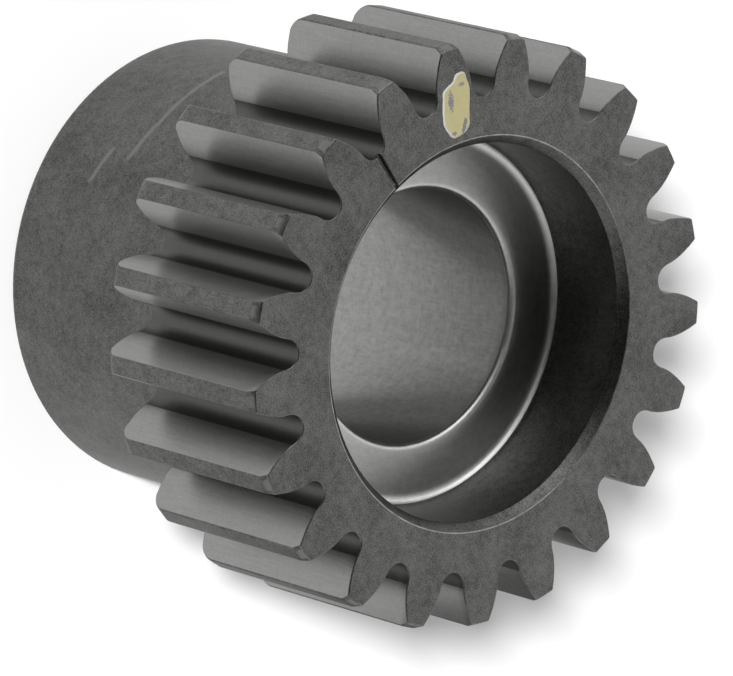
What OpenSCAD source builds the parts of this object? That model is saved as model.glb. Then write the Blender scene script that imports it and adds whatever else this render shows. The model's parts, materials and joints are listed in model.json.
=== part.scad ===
// Timing pinion: spur teeth and a plain hub turned and cut from one steel blank.
// The pinion stands on the end of its hub at z = 0, with the toothed face up.
// The axis is Z, and +X points along the timing groove in the toothed face.

/* [Teeth] */
// Number of teeth
teeth = 21; // [19:1:32]
// Pitch diameter, which has sixteen teeth to the inch
pitch_d = 33.34; // [31:0.02:60]
// Pressure angle of the rack that cuts the teeth
pressure_angle = 20; // [18.5:0.5:21]
// Height of a tooth above the pitch circle, in modules
addendum_modules = 1; // [0.8:0.01:1.1]
// Depth of a gap below the pitch circle, in modules
dedendum_modules = 1.27; // [1.2:0.01:1.3]
// Tip radius of the rack, which leaves the round root, in modules
rack_tip_modules = 0.42; // [0.2:0.01:0.42]
// Length of the teeth along the axis
tooth_len = 13.7; // [8:0.1:30]
// Chamfer on the tips at the toothed face, along the axis
tip_chamfer_len = 0.6; // [0.2:0.05:1.5]
// The same chamfer, across the radius
tip_chamfer_drop = 0.25; // [0.1:0.05:0.8]
// Radius that rounds the tips at the back of the teeth
tip_round = 0.9; // [0.2:0.05:1.2]

/* [Hub] */
// Diameter of the plain hub
hub_d = 28; // [24:0.1:29]
// Length of the hub past the teeth
hub_len = 14.4; // [4:0.1:40]
// Radius of the rounded edge at the hub's end
hub_round = 0.5; // [0.2:0.05:1.2]
// Fillet where the hub meets the back of the teeth
shoulder_fillet = 0.4; // [0.2:0.05:0.5]

/* [Counterbore] */
// Diameter of the counterbore in the toothed end
recess_d = 23.3; // [19:0.1:24.5]
// Depth of the counterbore
recess_depth = 6.15; // [3:0.05:11]
// Chamfer at the mouth of the counterbore
mouth_chamfer = 0.55; // [0.2:0.05:1]
// Fillet at the bottom of the counterbore
floor_fillet = 0.7; // [0.2:0.05:1.2]

/* [Bore] */
// Diameter of the bore for the shaft
bore_d = 15.88; // [10:0.02:18]
// Edge break where the bore leaves the floor of the counterbore
bore_chamfer_in = 0.4; // [0.1:0.05:0.6]
// Chamfer where the bore leaves the hub's end
bore_chamfer_out = 0.5; // [0.2:0.05:1]
// Width of the keyway
keyway_w = 4.76; // [3:0.01:6]
// Depth of the keyway past the wall of the bore
keyway_depth = 2.2; // [1:0.1:3]

/* [Timing marks] */
// Width of the timing groove in the toothed face
groove_w = 0.34; // [0.2:0.02:1]
// Depth of the timing groove
groove_depth = 0.4; // [0.2:0.05:1]
// Length of the paint daub, out along its tooth
daub_len = 3.9; // [2:0.1:4.2]
// Width of the paint daub
daub_w = 2.4; // [1:0.1:2.6]
// Thickness of the dried paint
daub_t = 0.1; // [0.05:0.05:0.3]
// Distance from the tips of the teeth to the far end of the daub
daub_gap = 1.76; // [1.2:0.02:2.4]
// Radius that rounds the corners of the daub
daub_round = 0.15; // [0.1:0.05:0.25]

/* [Hidden] */

// Module: the pitch diameter that each tooth takes
tooth_module = pitch_d / teeth;
pitch_r = pitch_d / 2;
base_r = pitch_r * cos(pressure_angle);
tip_r = pitch_r + addendum_modules * tooth_module;
root_r = pitch_r - dedendum_modules * tooth_module;
total_len = hub_len + tooth_len;
floor_z = total_len - recess_depth;
hub_r = hub_d / 2;
recess_r = recess_d / 2;
bore_r = bore_d / 2;
mouth_r = recess_r + mouth_chamfer;

// The rack's tip: its radius, and its centre from the middle of a gap and below the pitch line
rack_tip_r = rack_tip_modules * tooth_module;
rack_tip_depth = (dedendum_modules - rack_tip_modules) * tooth_module;
rack_tip_x = PI * tooth_module / 4 - dedendum_modules * tooth_module * tan(pressure_angle)
    - rack_tip_r * (1 - sin(pressure_angle)) / cos(pressure_angle);

// How far the rack rolls while its round tip cuts the root, in degrees of pinion
roll_start = -rack_tip_x / pitch_r * 180 / PI;
roll_end = (rack_tip_depth / tan(pressure_angle) - rack_tip_x) / pitch_r * 180 / PI;
root_steps = 9;
flank_steps = 8;

// Room that a cutter takes past the surface it opens
overrun = 0.8;

// The daub lies on the tooth that stands this many pitches clockwise of the timing groove
daub_pitches = 1.5;

// Corners of the daub as shares of its width and length, from the middle of its near end.
// The side with the nick lies away from the timing groove.
daub_shape = [
    [0.10, 0], [0.08, 0.12], [0.18, 0.23], [0.40, 0.23], [0.42, 0.48], [0.50, 0.70],
    [0.42, 0.98], [0.16, 1], [0.03, 0.89], [-0.22, 0.83], [-0.40, 0.76], [-0.50, 0.34],
    [-0.36, 0.10], [-0.20, 0]
];

// A quarter of a circle per corner stays smooth at this count
$fn = 96;

function involute_deg(a) = tan(a) * 180 / PI - a;

// Half of a gap's angle at radius r, where the flank is an involute
function gap_half_angle(r) =
    90 / teeth - involute_deg(pressure_angle) + involute_deg(acos(base_r / r));

// Point of the root that the rack's round tip leaves when the pinion has rolled by a degrees.
// The middle of the gap is on the Y axis.
function root_point(a) =
    let (
        centre = [rack_tip_x + pitch_r * a * PI / 180, pitch_r - rack_tip_depth],
        from_pitch = centre - [0, pitch_r],
        cut = centre + rack_tip_r * from_pitch / norm(from_pitch)
    )
    [cos(a) * cut.x - sin(a) * cut.y, sin(a) * cut.x + cos(a) * cut.y];

// Points of one side of a gap, from the middle of the root out past the tips
function root_side() = [
    for (i = [0 : root_steps]) root_point(roll_start + (roll_end - roll_start) * i / root_steps)
];
function flank_side() =
    let (
        r_first = norm(root_point(roll_end)),
        u_first = sqrt(pow(r_first / base_r, 2) - 1),
        u_last = sqrt(pow((tip_r + overrun) / base_r, 2) - 1)
    )
    [
        for (i = [1 : flank_steps])
            let (
                u = u_first + (u_last - u_first) * i / flank_steps,
                r = base_r * sqrt(1 + u * u),
                a = gap_half_angle(r)
            )
            [r * sin(a), r * cos(a)]
    ];
function mirrored(points) = [for (i = [len(points) - 1 : -1 : 0]) [-points[i].x, points[i].y]];

// Outline of the gap between two teeth, with its middle on the Y axis
module gap_outline() {
    side = concat(root_side(), flank_side());
    polygon(concat(side, mirrored(side)));
}

// Half of the turned blank, as radius and height
module blank_section() {
    difference() {
        union() {
            polygon([
                [bore_r + bore_chamfer_out, 0],
                [hub_r, 0],
                [hub_r, hub_len],
                [tip_r - tip_round, hub_len],
                [tip_r, hub_len + tip_round],
                [tip_r, total_len - tip_chamfer_len],
                [tip_r - tip_chamfer_drop, total_len],
                [mouth_r, total_len],
                [recess_r, total_len - mouth_chamfer],
                [recess_r, floor_z],
                [bore_r + bore_chamfer_in, floor_z],
                [bore_r, floor_z - bore_chamfer_in],
                [bore_r, bore_chamfer_out]
            ]);
            translate([tip_r - tip_round, hub_len + tip_round]) circle(r = tip_round);
            translate([hub_r, hub_len - shoulder_fillet]) square(shoulder_fillet);
            translate([recess_r - floor_fillet, floor_z]) square(floor_fillet);
        }
        difference() {
            translate([hub_r - hub_round, 0]) square(hub_round);
            translate([hub_r - hub_round, hub_round]) circle(r = hub_round);
        }
        translate([hub_r + shoulder_fillet, hub_len - shoulder_fillet]) circle(r = shoulder_fillet);
        translate([recess_r - floor_fillet, floor_z + floor_fillet]) circle(r = floor_fillet);
    }
}

// Every gap between the teeth, with one of them on the +X axis
module tooth_gaps() {
    for (i = [0 : teeth - 1])
        rotate(i * 360 / teeth - 90)
            translate([0, 0, hub_len - overrun])
                linear_extrude(height = tooth_len + 2 * overrun)
                    gap_outline();
}

// Slot in the wall of the bore, right through, in line with the timing groove
module keyway() {
    translate([0, -keyway_w / 2, -overrun])
        cube([bore_r + keyway_depth, keyway_w, floor_z + 2 * overrun]);
}

// Groove in the toothed face, from the root of a gap in to the counterbore
module timing_groove() {
    translate([recess_r - overrun, -groove_w / 2, total_len - groove_depth])
        cube([root_r - recess_r + 2 * overrun, groove_w, groove_depth + overrun]);
}

module pinion() {
    color([0.36, 0.36, 0.35])
        difference() {
            rotate_extrude() blank_section();
            tooth_gaps();
            keyway();
            timing_groove();
        }
}

// Outline of the daub, with the middle of its tooth on the Y axis. It ends at the edge of the steel.
module daub_outline() {
    difference() {
        translate([0, tip_r - daub_gap - daub_len])
            offset(r = daub_round)
                offset(delta = -daub_round)
                    polygon([for (p = daub_shape) [p.x * daub_w, p.y * daub_len]]);
        circle(r = mouth_r);
        for (side = [-1, 1])
            rotate(side * 180 / teeth)
                gap_outline();
    }
}

// Dried paint on the toothed face
module paint_mark() {
    color([0.75, 0.70, 0.47])
        rotate(-daub_pitches * 360 / teeth - 90)
            translate([0, 0, total_len])
                linear_extrude(height = daub_t)
                    daub_outline();
}

pinion();
paint_mark();
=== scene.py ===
import json
import math

import bmesh
import bpy
from mathutils import Matrix, Vector, geometry, noise


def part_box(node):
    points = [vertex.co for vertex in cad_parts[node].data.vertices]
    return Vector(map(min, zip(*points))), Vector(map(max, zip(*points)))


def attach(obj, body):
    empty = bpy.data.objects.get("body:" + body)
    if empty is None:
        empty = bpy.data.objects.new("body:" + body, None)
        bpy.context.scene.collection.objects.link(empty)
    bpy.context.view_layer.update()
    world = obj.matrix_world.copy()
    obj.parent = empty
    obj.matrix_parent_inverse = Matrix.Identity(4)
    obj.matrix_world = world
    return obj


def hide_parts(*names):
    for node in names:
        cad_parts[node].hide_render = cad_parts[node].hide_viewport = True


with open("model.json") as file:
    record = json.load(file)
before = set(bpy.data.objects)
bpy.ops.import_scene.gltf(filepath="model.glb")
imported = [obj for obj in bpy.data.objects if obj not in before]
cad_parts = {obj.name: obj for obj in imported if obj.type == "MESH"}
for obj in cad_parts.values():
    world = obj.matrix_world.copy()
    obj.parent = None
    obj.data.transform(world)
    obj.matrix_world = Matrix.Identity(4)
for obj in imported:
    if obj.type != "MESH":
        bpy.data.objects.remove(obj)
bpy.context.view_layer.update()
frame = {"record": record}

# Every size below is in millimetres, and every angle in radians
MM = 0.001

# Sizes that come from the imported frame. A tooth stands on -X, so the box gives the tips' radius.
mounts = {mount["name"]: mount for mount in frame["record"]["mounts"]}
low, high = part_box("pinion")
total_len = high.z / MM
tip_r = -low.x / MM
bore_r = mounts["shaft_bore"]["dims"]["r_mm"]
recess_r = mounts["nut_recess"]["dims"]["r_mm"]
floor_z = mounts["recess_floor"]["pos_m"][2] / MM

# Teeth, cut by a rack as in the part's source
TEETH = 21
PRESSURE_ANGLE = math.radians(20)
DEDENDUM_MODULES = 1.27
RACK_TIP_MODULES = 0.42
TIP_CHAMFER_LEN = 0.6
TIP_CHAMFER_DROP = 0.25
TIP_ROUND = 0.9
tooth_module = tip_r / (TEETH / 2 + 1)
pitch_r = tooth_module * TEETH / 2
base_r = pitch_r * math.cos(PRESSURE_ANGLE)
root_r = pitch_r - DEDENDUM_MODULES * tooth_module
rack_tip_r = RACK_TIP_MODULES * tooth_module
rack_tip_depth = (DEDENDUM_MODULES - RACK_TIP_MODULES) * tooth_module
rack_tip_x = (math.pi * tooth_module / 4
              - DEDENDUM_MODULES * tooth_module * math.tan(PRESSURE_ANGLE)
              - rack_tip_r * (1 - math.sin(PRESSURE_ANGLE)) / math.cos(PRESSURE_ANGLE))

# Hub, counterbore and bore
HUB_R = 14
HUB_LEN = 14.4
HUB_ROUND = 0.5
SHOULDER_FILLET = 0.4
MOUTH_CHAMFER = 0.55
FLOOR_FILLET = 0.7
BORE_ROUND_IN = 0.4
BORE_CHAMFER_OUT = 0.5
KEYWAY_HALF = 2.38
KEYWAY_DEPTH = 2.2

# Small radii that a deburred edge has
EDGE_FRONT = 0.07
EDGE_BACK = 0.09
EDGE_TIP = 0.15
EDGE_TURNED = 0.11
EDGE_KEYWAY = 0.06
# Edges sharper than this stay crisp
SHARP_ANGLE = math.radians(46)

# Steps along half a pitch, and along the rounded edges of the turned form
ROOT_STEPS = 9
FLANK_STEPS = 8
CORNER_STEPS = 4
LAND_STEPS = 3
EDGE_STEPS = 3
TIP_ROUND_STEPS = 8
FILLET_STEPS = 8
SHOULDER_STEPS = 5
MOUTH_STEPS = 2
BORE_ROUND_STEPS = 6

# Extra rings. The first step of the tips' rounding that lies past the edge break at the back
TIP_ROUND_FIRST = 3
# Where the teeth's chamfer starts, as distances from its start, with the zone that follows
CHAMFER_RINGS = [(-0.06, "teeth"), (-0.02, "teeth"), (0.03, "tips")]
# On the counterbore's floor: how far the one round the bore stands off, less so in the keyway, and
# how far the outer one stands in from the fillet
FLOOR_RING_OUT = 0.45
FLOOR_RING_SHRINK = 0.2
FLOOR_RING_IN = 0.2
# In the bore: the highest one's distance from the floor, and the lowest one's height
BORE_RING_DROP = 0.8
BORE_RING_LOW = 1.2
# Round the bore's chamfer at the hub's end: how far past its corners and how far within them
CHAMFER_PAST = 0.04
CHAMFER_WITHIN = 0.03
# On the end face, as a distance in from the hub's side, and on that side, as shares of its height
END_RING_IN = 3
HUB_RINGS = (0.06, 0.35, 0.65, 0.9)
# A distance below this counts as none, and a normal this steep as straight up or down
NO_DISTANCE = 1e-9
FLAT_HEIGHT = 1e-3
FLAT_NORMAL = 0.9999

# Timing groove: distance from its middle and depth below the face, across one half of it
GROOVE_SECTION = [(0, 0.4), (0.13, 0.4), (0.168, 0.37), (0.172, 0.05), (0.19, 0.015), (0.24, 0)]


def involute(angle):
    return math.tan(angle) - angle


def gap_half_angle(r):
    """Half of a gap's angle at radius r, where the flank is an involute."""
    return math.pi / (2 * TEETH) - involute(PRESSURE_ANGLE) + involute(math.acos(base_r / r))


def root_point(roll):
    """Radius and angle from the gap's middle of the root that the rack's round tip leaves."""
    centre = Vector((rack_tip_x + pitch_r * roll, pitch_r - rack_tip_depth))
    cut = centre + rack_tip_r * (centre - Vector((0, pitch_r))).normalized()
    return cut.length, math.atan2(cut.x, cut.y) - roll


def polar(r, angle):
    return Vector((r * math.cos(angle), r * math.sin(angle)))


def round_corner(before, corner, after, radius, steps):
    """Points of the arc that rounds a corner between two straight lines."""
    to_before = (before - corner).normalized()
    to_after = (after - corner).normalized()
    half = to_before.angle(to_after) / 2
    centre = corner + (to_before + to_after).normalized() * radius / math.sin(half)
    start = corner + to_before * radius / math.tan(half) - centre
    end = corner + to_after * radius / math.tan(half) - centre
    sweep = start.angle_signed(end)
    return [centre + Matrix.Rotation(-sweep * i / steps, 2) @ start for i in range(steps + 1)]


def half_tooth(tip):
    """Points from the middle of a gap, on +X, to the middle of the next tooth, and their zones."""
    roll_start = -rack_tip_x / pitch_r
    roll_end = (rack_tip_depth / math.tan(PRESSURE_ANGLE) - rack_tip_x) / pitch_r
    rolls = [roll_start + (roll_end - roll_start) * i / ROOT_STEPS
             for i in range(1, ROOT_STEPS + 1)]
    points = [polar(root_r, 0)] + [polar(*root_point(roll)) for roll in rolls]
    zones = ["root"] * len(points)
    tip_pressure = math.acos(base_r / tip)
    corner_angle = gap_half_angle(tip)
    corner = polar(tip, corner_angle)
    down_flank = polar(1, corner_angle + math.pi + tip_pressure)
    along_land = polar(1, corner_angle + math.pi / 2)
    cut_back = EDGE_TIP / math.tan((math.pi / 2 + tip_pressure) / 2) * math.cos(tip_pressure)
    u_first = math.sqrt((points[-1].length / base_r) ** 2 - 1)
    u_last = math.sqrt(((tip - cut_back) / base_r) ** 2 - 1)
    for i in range(1, FLANK_STEPS):
        r = base_r * math.hypot(1, u_first + (u_last - u_first) * i / FLANK_STEPS)
        points.append(polar(r, gap_half_angle(r)))
        zones.append("flank")
    arc = round_corner(corner + down_flank, corner, corner + along_land, EDGE_TIP, CORNER_STEPS)
    points += arc
    zones += ["corner"] * len(arc)
    land_start = math.atan2(arc[-1].y, arc[-1].x)
    for i in range(1, LAND_STEPS + 1):
        points.append(polar(tip, land_start + (math.pi / TEETH - land_start) * i / LAND_STEPS))
        zones.append("land")
    return points, zones


def inset_points(points, inset):
    """The half outline moved into the steel. Its two ends stay on their lines of symmetry."""
    moved = []
    for i, point in enumerate(points):
        if i in (0, len(points) - 1):
            outward = point.normalized()
        else:
            along = (point - points[i - 1]).normalized() + (points[i + 1] - point).normalized()
            outward = Vector((along.y, -along.x)).normalized()
        moved.append(point - inset * outward)
    return moved


# Columns of the mesh, round the axis. Each one is (gap, index along the half outline, side of the
# gap) or, in the timing groove, (None, distance from its middle, depth below the face).
half_base, half_zones = half_tooth(tip_r)
GROOVE_REACH = GROOVE_SECTION[-1][0]


def make_columns():
    columns = []
    for gap in range(TEETH):
        for index in range(len(half_base) - 2, 0, -1):
            columns.append((gap, index, -1))
        for index in range(len(half_base)):
            columns.append((gap, index, 1))
    columns = [c for c in columns if c[0] or half_base[c[1]].y > GROOVE_REACH + EDGE_FRONT]
    left = [(None, -offset, depth) for offset, depth in reversed(GROOVE_SECTION)]
    right = [(None, offset, depth) for offset, depth in GROOVE_SECTION[1:]]
    first_right = next(i for i, c in enumerate(columns) if c[2] == 1)
    return columns[:first_right] + left + right + columns[first_right:]


columns = make_columns()


def column_point(column, half):
    """Where a column meets the outline whose half is given."""
    gap, index, side = column
    if gap is None:
        after = next(i for i, point in enumerate(half) if point.y > abs(index))
        share = (abs(index) - half[after - 1].y) / (half[after].y - half[after - 1].y)
        return Vector((half[after - 1].lerp(half[after], share).x, index))
    point = Vector((half[index].x, side * half[index].y))
    return Matrix.Rotation(2 * math.pi * gap / TEETH, 2) @ point


# The first column of a half gap that stands clear of the timing groove
BESIDE_GROOVE = next(i for i, point in enumerate(half_base) if point.y > GROOVE_REACH + EDGE_FRONT)


def circle_ring(r):
    """Points of a circle, evenly spaced in each half pitch but for the timing groove's columns."""
    ring = []
    for gap, index, side in columns:
        if gap is None:
            ring.append(Vector((math.sqrt(r * r - index ** 2), index)))
            continue
        start, skipped = (math.asin(GROOVE_REACH / r), BESIDE_GROOVE - 1) if gap == 0 else (0, 0)
        share = (index - skipped) / (len(half_base) - 1 - skipped)
        angle = start + (math.pi / TEETH - start) * share
        ring.append(polar(r, 2 * math.pi * gap / TEETH + side * angle))
    return ring


# Angles where the keyway's wall meets the bore and the bottom of the slot
key_far = bore_r + KEYWAY_DEPTH
key_mouth_angle = math.asin(KEYWAY_HALF / bore_r)
key_corner_angle = math.atan2(KEYWAY_HALF, key_far)


def keyed_angles():
    """The columns' angles in the bore, with the nearest ones moved to the keyway's corners."""
    angles = [math.atan2(point.y, point.x) for point in circle_ring(bore_r)]
    for target in (key_mouth_angle, key_corner_angle, -key_mouth_angle, -key_corner_angle):
        nearest = min(range(len(angles)), key=lambda i: abs(angles[i] - target))
        angles[nearest] = target
    return angles


bore_angle = keyed_angles()


def bore_point(i, out, up, z, shrink=1):
    """A point of the bore's ring, moved out and up by an edge break that shrinks in the keyway."""
    angle = bore_angle[i]
    size = abs(angle)
    side = math.copysign(1, angle)
    if size > key_mouth_angle:
        flat = polar(bore_r + out, angle)
        return Vector((flat.x, flat.y, z + up))
    wall_y = KEYWAY_HALF + out * shrink
    mouth_x = math.sqrt((bore_r + out) ** 2 - wall_y ** 2)
    if size == key_mouth_angle:
        return Vector((mouth_x, side * wall_y, z + up))
    far_x = key_far + out * shrink
    if size >= key_corner_angle:
        along = (key_mouth_angle - size) / (key_mouth_angle - key_corner_angle)
        return Vector((mouth_x + (far_x - mouth_x) * along, side * wall_y, z + up * shrink))
    return Vector((far_x, wall_y * math.tan(angle) / math.tan(key_corner_angle), z + up * shrink))


def rounded_profile(corners):
    """Points (radius, height) of a turned profile. A corner is (r, z, radius, steps)."""
    places = [Vector(corner[:2]) for corner in corners]
    profile = []
    for i, (r, z, radius, steps) in enumerate(corners):
        if radius:
            arc = round_corner(places[i - 1], places[i], places[i + 1], radius, steps)
            profile += [(point.x, point.y) for point in arc]
        else:
            profile.append((r, z))
    return profile


def quarter(radius, steps):
    """Steps of a quarter turn: how far it still has to go across, and how far it has gone along."""
    turns = [math.pi / 2 * i / steps for i in range(steps + 1)]
    return [(radius * (1 - math.sin(a)), radius * (1 - math.cos(a))) for a in turns]


def tip_at(z):
    """Radius of the tips at height z, which is less in the rounding and in the chamfer."""
    below = min(max(0, HUB_LEN + TIP_ROUND - z), TIP_ROUND)
    into = max(0, z - (total_len - TIP_CHAMFER_LEN)) / TIP_CHAMFER_LEN
    return tip_r - TIP_ROUND + math.sqrt(TIP_ROUND ** 2 - below ** 2) - TIP_CHAMFER_DROP * into


def outline_ring(z, inset):
    """Points of the teeth's outline at height z, moved into the steel."""
    half = inset_points(half_tooth(tip_at(z))[0], inset)
    return [column_point(column, half) for column in columns]


def same_angles(ring, r):
    """A circle of radius r at the angles of another ring, so that no face between them folds."""
    return [point.xy.normalized() * r for point in ring]


def make_rings():
    """Rings of the pinion, each as (points, zone of the band that follows)."""
    rings = []

    def put(ring, z, zone):
        rings.append(([Vector((p.x, p.y, z)) for p in ring], zone))

    def bore_ring(out, up, z, shrink=1):
        return [bore_point(i, out, up, z, shrink) for i in range(len(columns))]

    # Back edge, sides and front edge of the teeth
    for across, along in reversed(quarter(EDGE_BACK, EDGE_STEPS)):
        z = HUB_LEN + across
        put(outline_ring(z, along), z, "rim" if across < EDGE_BACK else "teeth")
    for step in range(TIP_ROUND_FIRST, TIP_ROUND_STEPS + 1):
        z = HUB_LEN + TIP_ROUND * (1 - math.cos(math.pi / 2 * step / TIP_ROUND_STEPS))
        put(outline_ring(z, 0), z, "teeth")
    chamfer_z = total_len - TIP_CHAMFER_LEN
    for off, zone in CHAMFER_RINGS:
        put(outline_ring(chamfer_z + off, 0), chamfer_z + off, zone)
    for across, along in quarter(EDGE_FRONT, EDGE_STEPS):
        z = total_len - across
        put(outline_ring(z, along), z, "rim" if across > NO_DISTANCE else "face")

    # Counterbore, from its mouth to the edge of the bore
    mouth_r = recess_r + MOUTH_CHAMFER
    recess = rounded_profile([
        (mouth_r + 1, total_len, 0, 0),
        (mouth_r, total_len, EDGE_TURNED, MOUTH_STEPS),
        (recess_r, total_len - MOUTH_CHAMFER, EDGE_TURNED, MOUTH_STEPS),
        (recess_r, floor_z, FLOOR_FILLET, FILLET_STEPS),
        (bore_r, floor_z, 0, 0),
    ])[1:-1]
    bands = (["mouth_edge"] * MOUTH_STEPS + ["chamfer"] * (MOUTH_STEPS + 1)
             + ["wall"] * 4 + ["floor"] * (FILLET_STEPS - 2))
    for (r, z), zone in zip(recess, bands):
        put(circle_ring(r), z, zone)
    around_bore = bore_ring(BORE_ROUND_IN + FLOOR_RING_OUT, 0, floor_z, FLOOR_RING_SHRINK)
    put(same_angles(around_bore, recess_r - FLOOR_FILLET - FLOOR_RING_IN), floor_z, "floor")
    put(around_bore, floor_z, "floor")

    # Bore and keyway, down to the hub's end
    for out, down in quarter(BORE_ROUND_IN, BORE_ROUND_STEPS):
        rings.append((bore_ring(out, -down, floor_z, EDGE_KEYWAY / BORE_ROUND_IN),
                      "floor" if out > NO_DISTANCE else "bore"))
    for z in (floor_z - BORE_RING_DROP, floor_z / 2, BORE_RING_LOW):
        rings.append((bore_ring(0, 0, z), "bore"))
    past, within = BORE_CHAMFER_OUT + CHAMFER_PAST, BORE_CHAMFER_OUT - CHAMFER_WITHIN
    for out, up in ((0, past), (CHAMFER_WITHIN, within), (within, CHAMFER_WITHIN), (past, 0)):
        rings.append((bore_ring(out, up, 0, EDGE_KEYWAY / BORE_CHAMFER_OUT),
                      "chamfer" if up else "end"))

    # Hub, from its end face to the back of the teeth
    end_r = HUB_R - END_RING_IN
    put(circle_ring(end_r), 0, "end")
    hub = rounded_profile([
        (end_r, 0, 0, 0),
        (HUB_R, 0, HUB_ROUND, FILLET_STEPS),
        (HUB_R, HUB_LEN, SHOULDER_FILLET, SHOULDER_STEPS),
        (tip_r, HUB_LEN, 0, 0),
    ])[1:-1]
    for r, z in hub[:FILLET_STEPS + 1]:
        put(circle_ring(r), z, "hub")
    for share in HUB_RINGS:
        put(circle_ring(HUB_R), HUB_ROUND + (HUB_LEN - HUB_ROUND - SHOULDER_FILLET) * share, "hub")
    for r, z in hub[FILLET_STEPS + 1:]:
        put(circle_ring(r), z, "hub" if r < hub[-1][0] else "shoulder")
    back = rings[0][0]
    foot_r = (hub[-1][0] + min(point.xy.length for point in back)) / 2
    put(same_angles(back, foot_r), HUB_LEN, "shoulder")
    return rings


# The finish that each band of the turned form takes, and each stretch of the teeth's outline
FINISHES = ["face", "hub", "land", "root", "flank", "chamfer", "edge", "lip", "wall", "floor",
            "bore"]
ZONE_FINISH = {
    "face": "face", "rim": "edge", "mouth_edge": "lip", "chamfer": "wall", "wall": "wall",
    "floor": "floor", "bore": "bore", "end": "face", "hub": "hub", "shoulder": "land",
}
OUTLINE_FINISH = {"root": "root", "flank": "flank", "corner": "land", "land": "land"}


def face_finish(zone, outline_zones):
    """Index of the finish of a face, by its band and the outline's zones at its two columns."""
    if zone not in ("teeth", "tips"):
        return FINISHES.index(ZONE_FINISH[zone])
    first, second = outline_zones
    if "flank" in outline_zones:
        return FINISHES.index("flank")
    if zone == "tips" and first == second == "land":
        return FINISHES.index("chamfer")
    return FINISHES.index(OUTLINE_FINISH[first if first == second else "corner"])


def lies_flat(face):
    """Whether a face is in the toothed face or in the shoulder behind the teeth."""
    height = face.calc_center_median().z / MM
    off = min(abs(height - total_len), abs(height - HUB_LEN))
    return abs(face.normal.z) > FLAT_NORMAL and off < FLAT_HEIGHT


def make_pinion():
    """The steel as one closed grid: every ring joined to the next, and the last to the first."""
    mesh = bpy.data.meshes.new("pinion_steel")
    built = bmesh.new()
    rings = make_rings()
    grid = []
    for ring, zone in rings:
        row = []
        for column, spot in zip(columns, ring):
            depth = column[2] if column[0] is None else 0
            z = min(spot.z, total_len - depth)
            row.append(built.verts.new((spot.x * MM, spot.y * MM, z * MM)))
        grid.append(row)
    outline = ["root" if column[0] is None else half_zones[column[1]] for column in columns]
    for i, row in enumerate(grid):
        after = grid[(i + 1) % len(grid)]
        for j in range(len(row)):
            k = (j + 1) % len(row)
            face = built.faces.new((row[j], row[k], after[k], after[j]))
            face.smooth = True
            face.material_index = face_finish(rings[i][1], (outline[j], outline[k]))
    bmesh.ops.remove_doubles(built, verts=built.verts, dist=1e-7)
    bmesh.ops.dissolve_degenerate(built, edges=built.edges, dist=1e-8)
    built.normal_update()
    for edge in built.edges:
        first, second = edge.link_faces
        edge.smooth = (lies_flat(first) == lies_flat(second)
                       and edge.calc_face_angle() < SHARP_ANGLE)
    built.to_mesh(mesh)
    built.free()
    piece = bpy.data.objects.new("pinion_steel", mesh)
    bpy.context.scene.collection.objects.link(piece)
    normals = piece.modifiers.new("normals", "WEIGHTED_NORMAL")
    normals.mode = "FACE_AREA"
    normals.weight = 100
    normals.keep_sharp = True
    return piece


# Camera, fitted to the teeth and the silhouette in the photograph
CAMERA_AZIMUTH = math.radians(36.137)
CAMERA_ELEVATION = math.radians(47.074)
CAMERA_ROLL = math.radians(104.650)
CAMERA_DISTANCE = 461.13
CAMERA_AIM = Vector((2.809, 4.473, 23.537))
CAMERA_LENS = 375.43
SENSOR_W = 36


def toward(azimuth, elevation):
    """Unit vector to a place in the sky: azimuth from +X towards +Y, elevation above the floor."""
    return Vector((math.cos(elevation) * math.cos(azimuth), math.cos(elevation) * math.sin(azimuth),
                   math.sin(elevation)))


def make_camera():
    back = toward(CAMERA_AZIMUTH, CAMERA_ELEVATION)
    level = Vector((0, 0, 1)).cross(back).normalized()
    right = math.cos(CAMERA_ROLL) * level + math.sin(CAMERA_ROLL) * back.cross(level)
    data = bpy.data.cameras.new("camera")
    data.sensor_width = SENSOR_W
    data.lens = CAMERA_LENS
    data.clip_start = 0.02
    data.clip_end = 20
    camera = bpy.data.objects.new("camera", data)
    turn = Matrix((right, back.cross(right), back)).transposed().to_4x4()
    camera.matrix_world = Matrix.Translation((CAMERA_AIM + CAMERA_DISTANCE * back) * MM) @ turn
    bpy.context.scene.collection.objects.link(camera)
    bpy.context.scene.camera = camera


def add_node(tree, kind, inputs=None, **settings):
    """A node with its settings. An input that is a socket is linked, and any other is set."""
    node = tree.nodes.new(kind)
    for key, value in settings.items():
        setattr(node, key, value)
    for key, value in (inputs or {}).items():
        if isinstance(value, bpy.types.NodeSocket):
            tree.links.new(value, node.inputs[key])
        else:
            node.inputs[key].default_value = value
    return node


def calculate(tree, operation, a, b=0.0, c=0.0):
    return add_node(tree, "ShaderNodeMath", {0: a, 1: b, 2: c}, operation=operation).outputs[0]


def remap(tree, value, first, last, at_first=1.0, at_last=0.0, **settings):
    """A value that runs from one level to another while the given one runs from first to last."""
    return add_node(tree, "ShaderNodeMapRange", {
        "Value": value, "From Min": first, "From Max": last, "To Min": at_first, "To Max": at_last,
    }, **settings).outputs[0]


def distance_along(tree, vector, direction):
    """How far a vector reaches in a direction."""
    return add_node(tree, "ShaderNodeVectorMath", {0: vector, 1: direction},
                    operation="DOT_PRODUCT").outputs["Value"]


def add_relief(tree, shader, height, depth):
    """Bump on the shader, with its depth in millimetres."""
    bump = add_node(tree, "ShaderNodeBump",
                    {"Height": height, "Distance": depth * MM, "Strength": 1})
    tree.links.new(bump.outputs[0], shader.inputs["Normal"])


def place(tree):
    """Position on the object in millimetres."""
    coord = add_node(tree, "ShaderNodeTexCoord").outputs["Object"]
    return add_node(tree, "ShaderNodeVectorMath", {0: coord, "Scale": 1 / MM},
                    operation="SCALE").outputs["Vector"]


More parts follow.
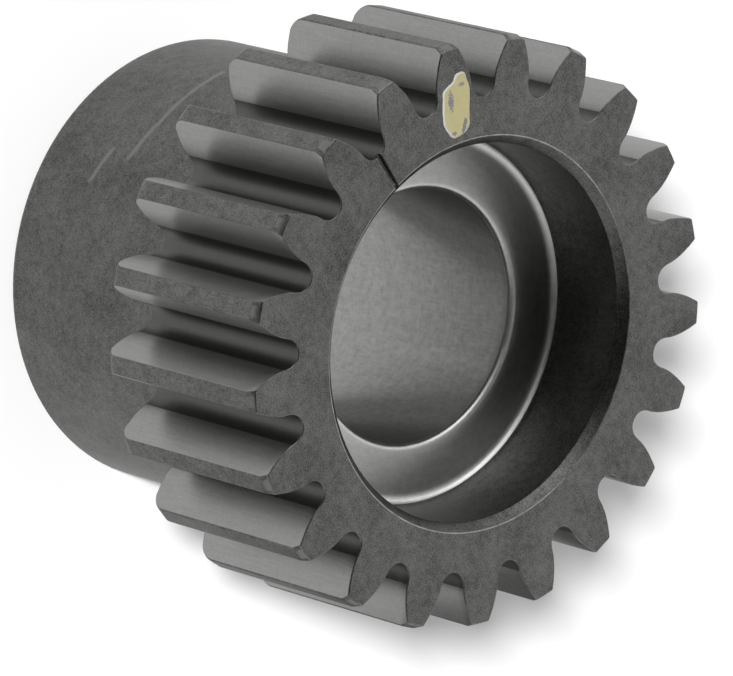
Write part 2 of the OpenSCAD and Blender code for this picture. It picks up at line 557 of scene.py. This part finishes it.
def round_place(tree, around, across, along):
    """Position on the axis' own grid: angle, radius and height, each by its own scale."""
    flat = add_node(tree, "ShaderNodeSeparateXYZ", {0: place(tree)}).outputs
    angle = calculate(tree, "ARCTAN2", flat[1], flat[0])
    squares = [calculate(tree, "MULTIPLY", flat[i], flat[i]) for i in (0, 1)]
    radius = calculate(tree, "SQRT", calculate(tree, "ADD", *squares))
    return add_node(tree, "ShaderNodeCombineXYZ", {
        0: calculate(tree, "MULTIPLY", angle, around),
        1: calculate(tree, "MULTIPLY", radius, across),
        2: calculate(tree, "MULTIPLY", flat[2], along),
    }).outputs[0]


def speckle(tree, vector, size, detail=2.0, roughness=0.5):
    """Noise from about -0.5 to 0.5, with grains of the size given in millimetres."""
    found = add_node(tree, "ShaderNodeTexNoise", {
        "Vector": vector, "Scale": 1 / size, "Detail": detail, "Roughness": roughness,
    })
    return calculate(tree, "SUBTRACT", found.outputs["Fac"], 0.5)


def weighted_sum(tree, terms, start=0.0):
    total = start
    for value, weight in terms:
        total = calculate(tree, "MULTIPLY_ADD", value, weight, total)
    return total


def limited(tree, value, lowest, highest):
    return add_node(tree, "ShaderNodeClamp", {0: value, 1: lowest, 2: highest}).outputs[0]


def shade_between(tree, value, dark, light):
    """Colour between a dark and a light one, by a value from 0 to 1."""
    mixed = add_node(tree, "ShaderNodeMix", {"Factor": value}, data_type="RGBA")
    mixed.inputs[6].default_value = (*dark, 1)
    mixed.inputs[7].default_value = (*light, 1)
    return mixed.outputs[2]


def new_material(name):
    material = bpy.data.materials.new(name)
    material.use_nodes = True
    tree = material.node_tree
    tree.nodes.clear()
    shader = add_node(tree, "ShaderNodeBsdfPrincipled")
    output = add_node(tree, "ShaderNodeOutputMaterial")
    tree.links.new(shader.outputs[0], output.inputs[0])
    return material, tree, shader


# Darkest and lightest colour of bare steel, as shares of its base colour, and its least roughness
STEEL_DARK = 0.2
STEEL_LIGHT = 1.8
LEAST_ROUGH = 0.05


def finish_steel(tree, shader, tone, base, contrast, roughness, rough_change, relief, relief_depth):
    """Colour, roughness and relief of bare steel from one tone that runs about zero."""
    value = limited(tree, weighted_sum(tree, [(tone, contrast)], 0.5), 0, 1)
    dark = [c * STEEL_DARK for c in base]
    light = [c * STEEL_LIGHT for c in base]
    tree.links.new(shade_between(tree, value, dark, light), shader.inputs["Base Color"])
    rough = limited(tree, weighted_sum(tree, [(tone, rough_change)], roughness), LEAST_ROUGH, 1)
    tree.links.new(rough, shader.inputs["Roughness"])
    shader.inputs["Metallic"].default_value = 1
    add_relief(tree, shader, relief, relief_depth)


def spread_light(tree, shader, anisotropy, turn):
    """Spreads the reflections round the axis, or along it when turned by a quarter."""
    shader.inputs["Anisotropic"].default_value = anisotropy
    shader.inputs["Anisotropic Rotation"].default_value = turn
    tangent = add_node(tree, "ShaderNodeTangent", direction_type="RADIAL", axis="Z")
    tree.links.new(tangent.outputs[0], shader.inputs["Tangent"])


# Fine scratches round the hub, as (degrees from the timing groove, height) at each end. Each one
# has a core and half a width, a fade at its ends, and a weight in the tone.
SCRATCHES = [((-21, 8.0), (4, 8.0)), ((3, 8.0), (16, 7.55)), ((13, 5.85), (24, 5.25))]
SCRATCH_CORE = 0.1
SCRATCH_HALF = 0.22
SCRATCH_FADE = 0.02
SCRATCH_WEIGHT = 1.3


def scratch(tree, start, end):
    """1 along a fine scratch on the hub, and 0 away from it."""
    flat = add_node(tree, "ShaderNodeSeparateXYZ", {0: place(tree)}).outputs
    angle = calculate(tree, "ARCTAN2", flat[1], flat[0])
    first, last = math.radians(start[0]), math.radians(end[0])
    height = remap(tree, angle, first, last, start[1], end[1])
    off_line = calculate(tree, "ABSOLUTE", calculate(tree, "SUBTRACT", flat[2], height))
    off_end = calculate(tree, "ABSOLUTE", calculate(tree, "SUBTRACT", angle, (first + last) / 2))
    line = remap(tree, off_line, SCRATCH_CORE, SCRATCH_HALF)
    inside = remap(tree, off_end, (last - first) / 2 - SCRATCH_FADE, (last - first) / 2)
    return calculate(tree, "MULTIPLY", line, inside)


def matte_steel(name, base, roughness=0.5, scratches=()):
    """Heat-treated skin: dark, matt and mottled."""
    material, tree, shader = new_material(name)
    spot = place(tree)
    cloud = speckle(tree, spot, 3.2, 3)
    mottle = speckle(tree, spot, 0.55, 3, 0.65)
    grain = speckle(tree, spot, 0.1, 1)
    patches = speckle(tree, spot, 0.5, 1)
    terms = [(cloud, 0.6), (mottle, 0.8), (grain, 1.2)]
    for start, end in scratches:
        line = scratch(tree, start, end)
        worn = calculate(tree, "MULTIPLY", line, calculate(tree, "ADD", patches, 0.5))
        terms.append((worn, SCRATCH_WEIGHT))
    tone = weighted_sum(tree, terms)
    relief = weighted_sum(tree, [(mottle, 1), (grain, 0.6)])
    finish_steel(tree, shader, tone, base, 0.9, roughness, 0.1, relief, 0.018)
    return material


# How fast the marks on cut steel change along a tooth, as a share of how fast they change across
ALONG_TOOTH = 0.06


def smooth_steel(name, base, roughness, anisotropy=0.0):
    """Cut steel: smoother, with faint marks along the tooth, which spread the light across them."""
    material, tree, shader = new_material(name)
    spot = place(tree)
    stretch = add_node(tree, "ShaderNodeVectorMath", {0: spot, 1: (1, 1, ALONG_TOOTH)},
                       operation="MULTIPLY")
    streak = speckle(tree, stretch.outputs[0], 0.14, 2)
    mottle = speckle(tree, spot, 0.4, 3, 0.65)
    grain = speckle(tree, spot, 0.1, 1)
    tone = weighted_sum(tree, [(streak, 0.5), (mottle, 0.5), (grain, 0.5)])
    relief = weighted_sum(tree, [(streak, 1), (grain, 0.4)])
    finish_steel(tree, shader, tone, base, 0.3, roughness, 0.08, relief, 0.003)
    spread_light(tree, shader, anisotropy, 0)
    return material


def worn_edge(name, base, roughness):
    """Edges that handling has rubbed bright, in patches."""
    material, tree, shader = new_material(name)
    spot = place(tree)
    patches = speckle(tree, spot, 0.9, 3, 0.7)
    grain = speckle(tree, spot, 0.12, 1)
    tone = weighted_sum(tree, [(patches, 2.2), (grain, 0.6)])
    finish_steel(tree, shader, tone, base, 0.6, roughness, 0.05, patches, 0.004)
    return material


def turned_steel(name, base, roughness, anisotropy):
    """Turned counterbore: fine rings and broad bands, with the light spread round the axis."""
    material, tree, shader = new_material(name)
    rings = speckle(tree, round_place(tree, 1.2, 1, 1), 0.07, 2)
    bands = speckle(tree, round_place(tree, 2.5, 1, 1), 0.5, 2)
    mottle = speckle(tree, place(tree), 0.45, 3, 0.6)
    tone = weighted_sum(tree, [(rings, 0.5), (bands, 0.4), (mottle, 0.6)])
    finish_steel(tree, shader, tone, base, 0.35, roughness, 0.08, rings, 0.002)
    spread_light(tree, shader, anisotropy, 0)
    return material


def honed_steel(name, base, roughness, anisotropy):
    """Finished bore: faint crossed marks, which spread the light along the wall."""
    material, tree, shader = new_material(name)
    rings = speckle(tree, round_place(tree, 2.0, 1, 1), 0.1, 2)
    lines = speckle(tree, round_place(tree, bore_r, 1, 0.15), 0.14, 1)
    mottle = speckle(tree, place(tree), 0.5, 3, 0.6)
    tone = weighted_sum(tree, [(rings, 0.5), (lines, 0.4), (mottle, 0.7)])
    relief = weighted_sum(tree, [(rings, 1), (lines, 0.6)])
    finish_steel(tree, shader, tone, base, 0.55, roughness, 0.06, relief, 0.002)
    spread_light(tree, shader, anisotropy, 0.25)
    return material


def steel_finishes():
    made = {
        "face": matte_steel("steel_face", (0.178, 0.178, 0.173)),
        "hub": matte_steel("steel_hub", (0.12, 0.12, 0.115), scratches=SCRATCHES),
        "land": matte_steel("steel_land", (0.135, 0.135, 0.13)),
        # Bottom of the gaps: cut steel whose low base colour is partly painted shade, for the shade
        # deep between the teeth
        "root": smooth_steel("steel_root_painted_shade", (0.105, 0.105, 0.1), 0.45, 0.4),
        "flank": smooth_steel("steel_flank", (0.29, 0.29, 0.285), 0.34, 0.8),
        "chamfer": smooth_steel("steel_chamfer", (0.17, 0.17, 0.165), 0.3),
        "edge": worn_edge("steel_edge", (0.17, 0.17, 0.165), 0.45),
        "lip": worn_edge("steel_lip", (0.34, 0.34, 0.335), 0.38),
        # Counterbore's wall and mouth chamfer: matt skin whose low base colour is partly painted
        # shade, for the dark that the wall reflects in its recess
        "wall": matte_steel("steel_wall_painted_shade", (0.11, 0.11, 0.105), 0.4),
        "floor": turned_steel("steel_floor", (0.8, 0.8, 0.785), 0.4, 0.7),
        "bore": honed_steel("steel_bore", (0.34, 0.34, 0.335), 0.31, 0.8),
    }
    return [made[finish] for finish in FINISHES]


# Daub of marking paint. Its outline is (towards the timing groove, distance from the axis), on the
# line of its own tooth, which stands one and a half pitches clockwise of the groove.
DAUB_ANGLE = -1.5 * 2 * math.pi / TEETH
DAUB_OUTLINE = [
    (-0.18, 12.66), (0.15, 12.60), (0.50, 12.62), (0.85, 13.00), (1.12, 13.55), (1.15, 14.00),
    (1.10, 14.60), (1.00, 15.20), (0.92, 15.60), (0.55, 15.85), (0.05, 16.08), (-0.15, 16.38),
    (-0.42, 16.49), (-0.92, 16.40), (-1.05, 15.90), (-1.18, 15.40), (-1.13, 14.80), (-1.02, 14.20),
    (-0.94, 13.60), (-0.90, 13.22), (-0.76, 12.95), (-0.50, 12.75),
]
# Where the daub is rubbed through: the middle of each patch, how far it reaches each way, and how
# bare it is. The last three make the mark in the corner away from the groove.
DAUB_WORN = [
    ((0.42, 14.95), (0.3, 0.85), 0.5),
    ((-0.55, 15.75), (0.3, 0.16), 0.5),
    ((0.45, 12.9), (0.25, 0.16), 0.5),
    ((-0.53, 13.42), (0.15, 0.22), 1.2),
    ((-0.40, 13.15), (0.15, 0.24), 1.2),
    ((-0.28, 12.92), (0.13, 0.18), 1.2),
]
# Thickness of the dried paint, width of its rounded edge, spacing of its grid, and how far its
# skirt goes into the steel
DAUB_THICK = 0.075
DAUB_EDGE = 0.12
DAUB_GRID = 0.06
DAUB_SINK = 0.004
# Its edge and its top are uneven: by how much, and how fast that changes. Without a fixed seed the
# edge would differ from run to run.
DAUB_SEED = 7
DAUB_LOOP_STEPS = 6
EDGE_UNEVEN = 0.02
EDGE_CHANGE = 5
TOP_UNEVEN = 0.012
TOP_CHANGE = 2.2


def smooth_loop(points, steps):
    """A closed curve through the points."""
    loop = []
    count = len(points)
    for i in range(count):
        a, b, c, d = (Vector(points[(i + k) % count]) for k in (-1, 0, 1, 2))
        for s in range(steps):
            t = s / steps
            loop.append(0.5 * (2 * b + (c - a) * t + (2 * a - 5 * b + 4 * c - d) * t * t
                               + (3 * b - a - 3 * c + d) * t ** 3))
    return loop


def make_daub():
    """The paint as a domed sheet on a fine grid, with a skirt down into the steel."""
    loop = smooth_loop(DAUB_OUTLINE, DAUB_LOOP_STEPS)
    noise.seed_set(DAUB_SEED)
    shifts = [Vector(noise.noise_vector(Vector((*point * EDGE_CHANGE, 0)))[:2]) for point in loop]
    wobble = [point + EDGE_UNEVEN * shift for point, shift in zip(loop, shifts)]
    count = len(wobble)

    def edge_distance(point):
        gaps = []
        for i in range(count):
            a, b = wobble[i], wobble[(i + 1) % count]
            near, share = geometry.intersect_point_line(point, a, b)
            near = a if share < 0 else b if share > 1 else near
            gaps.append((point - near.to_2d()).length)
        return min(gaps)

    xs = [p.x for p in wobble]
    ys = [p.y for p in wobble]
    inner = []
    for i in range(math.ceil((max(xs) - min(xs)) / DAUB_GRID)):
        for j in range(math.ceil((max(ys) - min(ys)) / DAUB_GRID)):
            shift = 0.5 if j % 2 else 0
            inner.append(Vector((min(xs) + (i + shift) * DAUB_GRID, min(ys) + j * DAUB_GRID)))
    ring_edges = [(i, (i + 1) % count) for i in range(count)]
    near_edge = [point for point in inner if edge_distance(point) > 0.4 * DAUB_GRID]
    flat, _, faces, _, _, _ = geometry.delaunay_2d_cdt(wobble + near_edge, ring_edges, [], 1, 1e-6)

    mesh = bpy.data.meshes.new("paint_daub")
    built = bmesh.new()
    rim = built.verts.layers.float.new("rim")
    across = polar(1, DAUB_ANGLE + math.pi / 2)
    out = polar(1, DAUB_ANGLE)
    top = []
    for point in flat:
        depth = edge_distance(point)
        share = min(depth / DAUB_EDGE, 1)
        height = DAUB_THICK * math.sqrt(max(0, 1 - (1 - share) ** 2))
        bulge = noise.noise(Vector((point.x * TOP_CHANGE, point.y * TOP_CHANGE, 3)))
        height += share * TOP_UNEVEN * bulge
        spot = point.x * across + point.y * out
        vert = built.verts.new((spot.x * MM, spot.y * MM, (total_len + height) * MM))
        vert[rim] = depth
        top.append(vert)
    for face in faces:
        built.faces.new([top[i] for i in face]).smooth = True
    boundary = [edge for edge in built.edges if edge.is_boundary]
    skirt = bmesh.ops.extrude_edge_only(built, edges=boundary)["geom"]
    lower = [item for item in skirt if isinstance(item, bmesh.types.BMVert)]
    for vert in lower:
        vert.co.z = (total_len - DAUB_SINK) * MM
    bmesh.ops.holes_fill(built, edges=[edge for edge in built.edges if edge.is_boundary], sides=0)
    bmesh.ops.recalc_face_normals(built, faces=built.faces)
    built.to_mesh(mesh)
    built.free()
    piece = bpy.data.objects.new("paint_daub", mesh)
    bpy.context.scene.collection.objects.link(piece)
    return piece


# Where a rubbed patch fades, as the square of the distance from its middle over its reach
RUBBED_FADE = (0.2, 1.2)


def rubbed(tree, spot, centre, reach):
    """1 in the middle of an oval patch of the daub, and 0 outside it."""
    sideways = polar(1, DAUB_ANGLE + math.pi / 2)
    outward = polar(1, DAUB_ANGLE)
    squares = []
    for direction, middle, half in zip((sideways, outward), centre, reach):
        off = calculate(tree, "SUBTRACT", distance_along(tree, spot, (*direction, 0)), middle)
        share = calculate(tree, "MULTIPLY", off, 1 / half)
        squares.append(calculate(tree, "MULTIPLY", share, share))
    return remap(tree, calculate(tree, "ADD", *squares), *RUBBED_FADE)


# Colours of the daub: the paint at its darkest and lightest, its rim, and the steel in a bare speck
PAINT_DARK = (0.25, 0.22, 0.10)
PAINT_LIGHT = (0.34, 0.31, 0.17)
PAINT_RIM = (0.33, 0.33, 0.34)
BARE_STEEL = (0.12, 0.12, 0.13)
PAINT_ROUGH = 0.5
PAINT_RELIEF = 0.01
# Where the pale rim fades, as distances from the daub's edge, and where the paint turns bare
RIM_FADE = (0.05, 0.12)
BARE_FROM = (0.36, 0.42)


def marking_paint():
    """Dried paint with a pale rim, rubbed down to the steel in specks."""
    material, tree, shader = new_material("marking_paint")
    spot = place(tree)
    mottle = speckle(tree, spot, 0.45, 3, 0.6)
    grain = speckle(tree, spot, 0.09, 2)
    tone = limited(tree, weighted_sum(tree, [(mottle, 0.5), (grain, 0.4)], 0.5), 0, 1)
    paint = shade_between(tree, tone, PAINT_DARK, PAINT_LIGHT)
    depth = add_node(tree, "ShaderNodeAttribute", attribute_name="rim").outputs["Fac"]
    ragged = weighted_sum(tree, [(grain, 0.2), (mottle, 0.15)], 0)
    at_rim = remap(tree, calculate(tree, "ADD", depth, ragged), *RIM_FADE)
    pale = add_node(tree, "ShaderNodeMix", {"Factor": at_rim, 6: paint, 7: (*PAINT_RIM, 1)},
                    data_type="RGBA").outputs[2]
    worn = 0.0
    for centre, reach, bareness in DAUB_WORN:
        patch = calculate(tree, "MULTIPLY", rubbed(tree, spot, centre, reach), bareness)
        worn = calculate(tree, "MAXIMUM", worn, patch)
    bareness = weighted_sum(tree, [(speckle(tree, spot, 0.07, 1), 1.0), (worn, 1.0)], 0)
    specks = remap(tree, bareness, *BARE_FROM, 0.0, 1.0)
    seen = add_node(tree, "ShaderNodeMix", {"Factor": specks, 6: pale, 7: (*BARE_STEEL, 1)},
                    data_type="RGBA").outputs[2]
    tree.links.new(seen, shader.inputs["Base Color"])
    shader.inputs["Roughness"].default_value = PAINT_ROUGH
    add_relief(tree, shader, weighted_sum(tree, [(mottle, 1), (specks, -0.5)]), PAINT_RELIEF)
    return material


# Floor: its size, its colour and glow to the camera, and its colour to diffuse light
FLOOR_SIZE = 6000
FLOOR_ALBEDO = 0.65
FLOOR_GLOW = 0.08
FLOOR_DIFFUSE = 0.8

# Painted shade: a dark strip on the floor that only the steel mirrors, standing in for shade on the
# floor there. Its direction from the camera's, the distance of its middle from the axis, half its
# width, half the width of its edge, and its tone
SHADE_STRIP_TURN = math.radians(118)
SHADE_STRIP_MIDDLE = 55
SHADE_STRIP_HALF = 20
SHADE_STRIP_BLUR = 4
SHADE_STRIP_TONE = 0.15


def make_floor():
    """A floor that is plain to the camera, with the object's shadow, and white in the steel but for
    a strip of painted shade.
    """
    mesh = bpy.data.meshes.new("floor")
    half = FLOOR_SIZE / 2 * MM
    corners = [(-half, -half, 0), (half, -half, 0), (half, half, 0), (-half, half, 0)]
    mesh.from_pydata(corners, [], [(0, 1, 2, 3)])
    floor = bpy.data.objects.new("floor", mesh)
    bpy.context.scene.collection.objects.link(floor)
    material = bpy.data.materials.new("floor")
    material.use_nodes = True
    tree = material.node_tree
    tree.nodes.clear()
    path = add_node(tree, "ShaderNodeLightPath").outputs
    shown = calculate(tree, "MAXIMUM", path["Is Camera Ray"], path["Is Transmission Ray"])
    lit = add_node(tree, "ShaderNodeBsdfDiffuse", {0: (*[FLOOR_ALBEDO] * 3, 1)})
    glow = add_node(tree, "ShaderNodeEmission", {1: FLOOR_GLOW})
    both = add_node(tree, "ShaderNodeAddShader", {0: lit.outputs[0], 1: glow.outputs[0]})
    # Painted shade: in the steel's reflection, the floor's glow drops to a set tone within a strip
    side = distance_along(tree, place(tree), toward(CAMERA_AZIMUTH + SHADE_STRIP_TURN, 0))
    off_shade_strip = calculate(tree, "ABSOLUTE", calculate(tree, "SUBTRACT", side, SHADE_STRIP_MIDDLE))
    bright = remap(tree, off_shade_strip, SHADE_STRIP_HALF - SHADE_STRIP_BLUR, SHADE_STRIP_HALF + SHADE_STRIP_BLUR, SHADE_STRIP_TONE, 1.0)
    white = add_node(tree, "ShaderNodeEmission", {1: bright})
    plain = add_node(tree, "ShaderNodeBsdfDiffuse", {0: (*[FLOOR_DIFFUSE] * 3, 1)})
    mirrored = add_node(tree, "ShaderNodeMixShader",
                        {0: path["Is Glossy Ray"], 1: plain.outputs[0], 2: white.outputs[0]})
    mixed = add_node(tree, "ShaderNodeMixShader",
                     {0: shown, 1: mirrored.outputs[0], 2: both.outputs[0]})
    output = add_node(tree, "ShaderNodeOutputMaterial")
    tree.links.new(mixed.outputs[0], output.inputs[0])
    mesh.materials.append(material)


# The sky is bright all round at low heights, but for a gap where the camera stands. Its fade to the
# zenith and the gap's edge are cosines: of the angle from straight up, and from the camera.
SKY_LOW = 0.95
SKY_ZENITH = 0.18
SKY_FADE = (0.6, 0.95)
SKY_GAP = 0.05
GAP_EDGE = (0.60, 0.70)


def make_sky():
    """The light all round, which the camera sees as white."""
    world = bpy.data.worlds.new("studio")
    bpy.context.scene.world = world
    world.use_nodes = True
    tree = world.node_tree
    tree.nodes.clear()
    aim = add_node(tree, "ShaderNodeTexCoord").outputs["Generated"]
    up = add_node(tree, "ShaderNodeSeparateXYZ", {0: aim}).outputs[2]
    side = distance_along(tree, aim, toward(CAMERA_AZIMUTH, CAMERA_ELEVATION))
    soft = {"interpolation_type": "SMOOTHSTEP"}
    rise = remap(tree, up, *SKY_FADE, SKY_LOW, SKY_ZENITH, **soft)
    gap = remap(tree, side, *GAP_EDGE, 1.0, SKY_GAP, **soft)
    seen = add_node(tree, "ShaderNodeLightPath").outputs["Is Camera Ray"]
    strength = calculate(tree, "MAXIMUM", calculate(tree, "MULTIPLY", rise, gap), seen)
    background = add_node(tree, "ShaderNodeBackground", {0: (1, 1, 1, 1), 1: strength})
    output = add_node(tree, "ShaderNodeOutputWorld")
    tree.links.new(background.outputs[0], output.inputs[0])


def make_lamp(name, azimuth, elevation, distance, size, power, shines_on):
    """A round lamp that lights either metal, by its reflection, or matt surfaces."""
    data = bpy.data.lights.new(name, "AREA")
    data.shape = "DISK"
    data.size = size * MM
    data.energy = power
    lamp = bpy.data.objects.new(name, data)
    aim = toward(azimuth, elevation)
    centre = Vector((0, 0, total_len / 2))
    lamp.matrix_world = (Matrix.Translation((centre + distance * aim) * MM)
                         @ aim.to_track_quat("Z", "Y").to_matrix().to_4x4())
    lamp.visible_diffuse = shines_on == "matt"
    lamp.visible_glossy = shines_on == "metal"
    bpy.context.scene.collection.objects.link(lamp)


# The window stands to one side of the camera, and the front lamp close beside it and below
WINDOW_TURN = math.radians(71)
WINDOW_ELEVATION = math.radians(31.5)
FRONT_TURN = math.radians(4.5)
FRONT_DROP = math.radians(3.2)


def make_lamps():
    make_lamp("window", CAMERA_AZIMUTH - WINDOW_TURN, WINDOW_ELEVATION,
              distance=500, size=400, power=0.55, shines_on="metal")
    make_lamp("front", CAMERA_AZIMUTH - FRONT_TURN, CAMERA_ELEVATION - FRONT_DROP,
              distance=2000, size=200, power=66, shines_on="matt")


pinion = make_pinion()
for finish in steel_finishes():
    pinion.data.materials.append(finish)
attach(pinion, "root")
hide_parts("pinion")

daub = make_daub()
daub.data.materials.append(marking_paint())
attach(daub, "root")
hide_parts("paint_mark")

make_camera()
make_floor()
make_sky()
make_lamps()
bpy.context.scene.view_settings.view_transform = "Standard"
